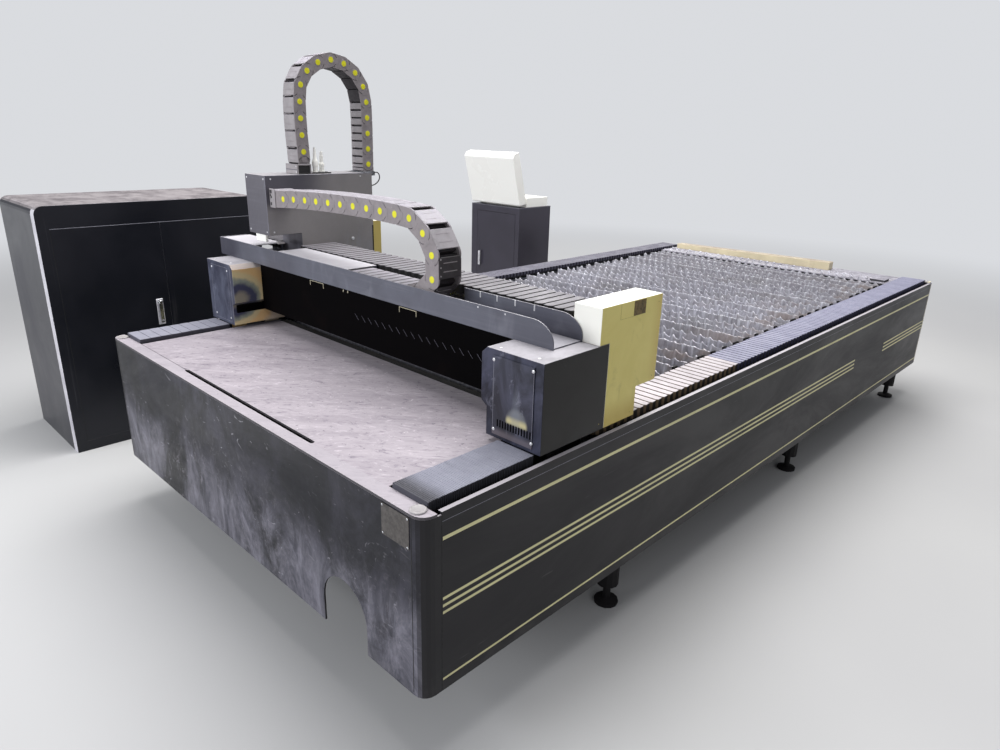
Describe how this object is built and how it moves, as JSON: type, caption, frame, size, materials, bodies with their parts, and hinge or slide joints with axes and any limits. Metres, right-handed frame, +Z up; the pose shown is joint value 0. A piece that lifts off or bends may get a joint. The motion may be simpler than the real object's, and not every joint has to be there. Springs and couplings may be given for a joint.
{
  "type": "fiber laser cutting machine",
  "caption": "Flat-bed laser cutter: slatted cutting bed, travelling gantry with cable chains and way covers, lifting cutting head, separate operator console and power cabinet.",
  "frame": {"origin": "middle of the footprint of the whole machine, on the floor", "axes": "+X along the bed from its discharge end, +Y from the striped long side towards the console and the cabinet, +Z up"},
  "size_m": [4.91, 3.75, 2.1676],
  "materials": {
    "black_paint": "satin, scuffed",
    "frame_paint": "satin",
    "dusty_steel": "dusty sheet",
    "slat_steel": "burnt and coated with slag",
    "guide_steel": "ground",
    "bellows_cloth": "coated cloth",
    "shield_steel": "blue grey sheet",
    "cream_paint": "satin",
    "white_paint": "satin",
    "chain_plastic": "matt",
    "black_plastic": "matt",
    "brass": "satin",
    "screen_glass": "gloss",
    "red_plastic": "gloss",
    "chrome": "polished"
  },
  "bodies": {
    "bed": {"frame": "frame_paint", "scrap_tray": "frame_paint", "foot_near_1": "frame_paint", "foot_near_2": "frame_paint", "foot_near_3": "frame_paint", "foot_far_1": "frame_paint", "foot_far_2": "frame_paint", "foot_far_3": "frame_paint", "guide_near": "guide_steel", "guide_far": "guide_steel", "panel_near_a": "black_paint", "panel_near_b": "black_paint", "panel_far_a": "black_paint", "panel_far_b": "black_paint", "end_cover_front": "black_paint", "end_cover_rear": "black_paint", "discharge_plate": "dusty_steel", "rear_plate": "dusty_steel", "end_strip": "cream_paint", "slat_section_1": "slat_steel", "slat_section_2": "slat_steel", "slat_section_3": "slat_steel", "slat_section_4": "slat_steel", "bellows_near_front": "bellows_cloth", "bellows_near_rear": "bellows_cloth", "bellows_far_front": "bellows_cloth", "bellows_far_rear": "bellows_cloth", "console_housing": "black_paint", "console_computer": "black_plastic", "console_desk": "white_paint", "cabinet_housing": "black_paint", "mounting_plate": "dusty_steel", "laser_source": "white_paint"},
    "gantry": {"beam": "black_paint", "beam_guide": "guide_steel", "beam_end_cover": "cream_paint", "end_box_near": "black_paint", "end_box_far": "black_paint", "vent_panel": "black_paint", "cable_tray": "shield_steel", "tray_cover": "dusty_steel", "beam_bellows_near": "bellows_cloth", "beam_bellows_far": "bellows_cloth", "chain_lower": "chain_plastic"},
    "carriage": {"carriage_box": "shield_steel", "chain_upper": "chain_plastic", "z_chain": "chain_plastic", "chain_bracket": "black_plastic", "hose_loop": "black_plastic"},
    "chain_loop": {"chain_bend": "chain_plastic"},
    "head": {"head_slide": "guide_steel", "head_cover": "cream_paint", "cutting_head": "brass"},
    "console_door": {"console_door": "black_paint"},
    "lid": {"console_lid": "white_paint", "screen": "screen_glass"},
    "stop_button": {"emergency_stop": "red_plastic"},
    "left_door": {"cabinet_door_left": "black_paint"},
    "right_door": {"cabinet_door_right": "black_paint"},
    "latch": {"cabinet_handle": "chrome"}
  },
  "joints": [
    {"name": "gantry_travel", "type": "slide", "parent": "bed", "child": "gantry", "axis": [1, 0, 0], "range_m": [0, 3.05], "deforming": ["bellows_near_front", "bellows_far_front", "bellows_near_rear", "bellows_far_rear"]},
    {"name": "carriage_travel", "type": "slide", "parent": "gantry", "child": "carriage", "axis": [0, -1, 0], "range_m": [0, 1.5], "deforming": ["beam_bellows_near", "beam_bellows_far", "chain_upper", "chain_lower"]},
    {"name": "chain_roll", "type": "slide", "parent": "gantry", "child": "chain_loop", "axis": [0, -1, 0], "range_m": [0, 0.75]},
    {"name": "head_lift", "type": "slide", "parent": "carriage", "child": "head", "axis": [0, 0, -1], "range_m": [0, 0.1], "deforming": ["z_chain"]},
    {"name": "console_door_hinge", "type": "hinge", "parent": "bed", "child": "console_door", "pos_m": [1.205, 1.172, 0.6], "axis": [0, 0, 1], "range_deg": [0, 110]},
    {"name": "lid_hinge", "type": "hinge", "parent": "bed", "child": "lid", "pos_m": [1.295, 1.425, 1.266], "axis": [0, 1, 0], "range_deg": [0, 104.8]},
    {"name": "stop_press", "type": "slide", "parent": "bed", "child": "stop_button", "axis": [-1, 0, 0], "range_m": [0, 0.006], "stiffness_N_per_m": 600, "springref_m": -0.008},
    {"name": "left_door_hinge", "type": "hinge", "parent": "bed", "child": "left_door", "pos_m": [-2.3945, 1.175, 0.6], "axis": [0, 0, -1], "range_deg": [0, 110]},
    {"name": "right_door_hinge", "type": "hinge", "parent": "bed", "child": "right_door", "pos_m": [-1.2655, 1.175, 0.6], "axis": [0, 0, 1], "range_deg": [0, 110]},
    {"name": "latch_turn", "type": "hinge", "parent": "left_door", "child": "latch", "pos_m": [-1.89, 1.175, 0.815], "axis": [0, -1, 0], "range_deg": [-90, 0]}
  ],
  "couplings": [
    {"joint": "chain_roll", "follows": "carriage_travel", "ratio": 0.5}
  ]
}
